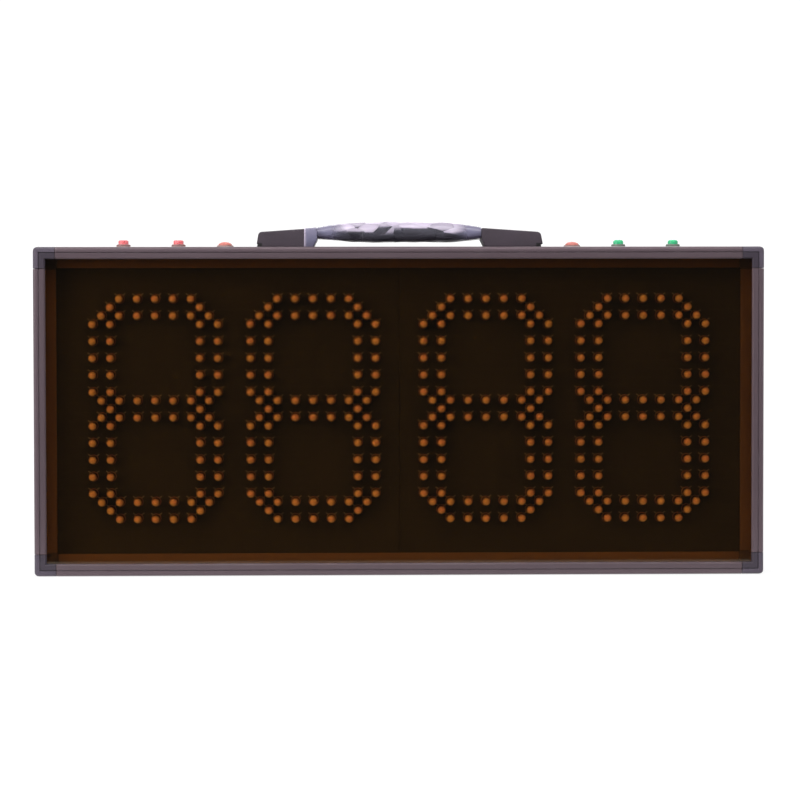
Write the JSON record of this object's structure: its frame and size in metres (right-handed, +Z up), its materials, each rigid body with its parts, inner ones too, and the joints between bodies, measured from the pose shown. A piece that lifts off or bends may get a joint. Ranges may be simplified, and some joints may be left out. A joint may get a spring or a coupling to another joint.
{
  "type": "electronic substitution board",
  "caption": "Hand-held electronic substitution board: LED dot figures behind a tinted window in an aluminium frame, with a carrying handle, push-buttons and a power switch.",
  "frame": {"origin": "middle of the bottom rail's flat underside, halfway between its front and back edges", "axes": "+X to the right as seen from the front, +Y from the front window to the rear panel, +Z up"},
  "size_m": [0.44, 0.0546, 0.2135],
  "materials": {
    "frame": "satin anodised",
    "black_plastic": "fine matt",
    "window": "clear tinted",
    "circuit": "solder mask",
    "steel": "zinc plated",
    "vinyl": "soft matt",
    "film": "clear film",
    "red": "semi gloss",
    "orange": "satin",
    "green": "semi gloss",
    "shrink": "shrink sleeve",
    "cable": "ribbon"
  },
  "bodies": {
    "board": {"top_rail": "frame", "bottom_rail": "frame", "left_rail": "frame", "right_rail": "frame", "corner_top_left": "black_plastic", "corner_top_right": "black_plastic", "corner_bottom_left": "black_plastic", "corner_bottom_right": "black_plastic", "window": "window", "display_board_left": "circuit", "display_board_right": "circuit", "control_board": "circuit", "centre_brace": "steel", "rear_panel": "black_plastic", "panel_screw_1": "steel", "panel_screw_2": "steel", "panel_screw_3": "steel", "panel_screw_4": "steel", "panel_screw_5": "steel", "panel_screw_6": "steel", "battery_pack": "shrink", "battery_tray": "black_plastic", "ribbon_cable_left": "cable", "ribbon_cable_right": "cable", "battery_lead": "red", "switch_lead": "black_plastic", "charge_socket": "black_plastic", "charge_socket_nut": "steel", "power_switch_body": "black_plastic", "red_button_outer_body": "black_plastic", "red_button_outer_nut": "steel", "red_button_inner_body": "black_plastic", "red_button_inner_nut": "steel", "dome_button_left_body": "black_plastic", "dome_button_left_nut": "steel", "dome_button_right_body": "black_plastic", "dome_button_right_nut": "steel", "green_button_inner_body": "black_plastic", "green_button_inner_nut": "steel", "green_button_outer_body": "black_plastic", "green_button_outer_nut": "steel", "handle_base_left": "black_plastic", "handle_base_right": "black_plastic", "handle_cap_left": "black_plastic", "handle_cap_right": "black_plastic", "handle_screw_1": "steel", "handle_screw_2": "steel", "handle_screw_3": "steel", "handle_screw_4": "steel", "strap_end_left": "vinyl", "strap_end_right": "vinyl"},
    "red_button_outer_cap": {"red_button_outer_cap": "red"},
    "red_button_inner_cap": {"red_button_inner_cap": "red"},
    "dome_button_left_cap": {"dome_button_left_cap": "orange"},
    "dome_button_right_cap": {"dome_button_right_cap": "orange"},
    "green_button_inner_cap": {"green_button_inner_cap": "green"},
    "green_button_outer_cap": {"green_button_outer_cap": "green"},
    "rocker": {"power_rocker": "red"},
    "grip": {"handle_grip": "vinyl", "grip_film": "film"}
  },
  "joints": [
    {"name": "red_button_outer_press", "type": "slide", "parent": "board", "child": "red_button_outer_cap", "axis": [0, 0, -1], "range_m": [0, 0.0012], "stiffness_N_per_m": 1500},
    {"name": "red_button_inner_press", "type": "slide", "parent": "board", "child": "red_button_inner_cap", "axis": [0, 0, -1], "range_m": [0, 0.0012], "stiffness_N_per_m": 1500},
    {"name": "dome_button_left_press", "type": "slide", "parent": "board", "child": "dome_button_left_cap", "axis": [0, 0, -1], "range_m": [0, 0.0006], "stiffness_N_per_m": 1500},
    {"name": "dome_button_right_press", "type": "slide", "parent": "board", "child": "dome_button_right_cap", "axis": [0, 0, -1], "range_m": [0, 0.0006], "stiffness_N_per_m": 1500},
    {"name": "green_button_inner_press", "type": "slide", "parent": "board", "child": "green_button_inner_cap", "axis": [0, 0, -1], "range_m": [0, 0.0012], "stiffness_N_per_m": 1500},
    {"name": "green_button_outer_press", "type": "slide", "parent": "board", "child": "green_button_outer_cap", "axis": [0, 0, -1], "range_m": [0, 0.0012], "stiffness_N_per_m": 1500},
    {"name": "power_rocker_tilt", "type": "hinge", "parent": "board", "child": "rocker", "pos_m": [0.168, 0.0253, 0.042], "axis": [1, 0, 0], "range_deg": [-20, 0]},
    {"name": "handle_lift", "type": "slide", "parent": "board", "child": "grip", "axis": [0, 0, 1], "range_m": [0, 0.018], "deforming": ["strap_end_left", "strap_end_right"]}
  ]
}
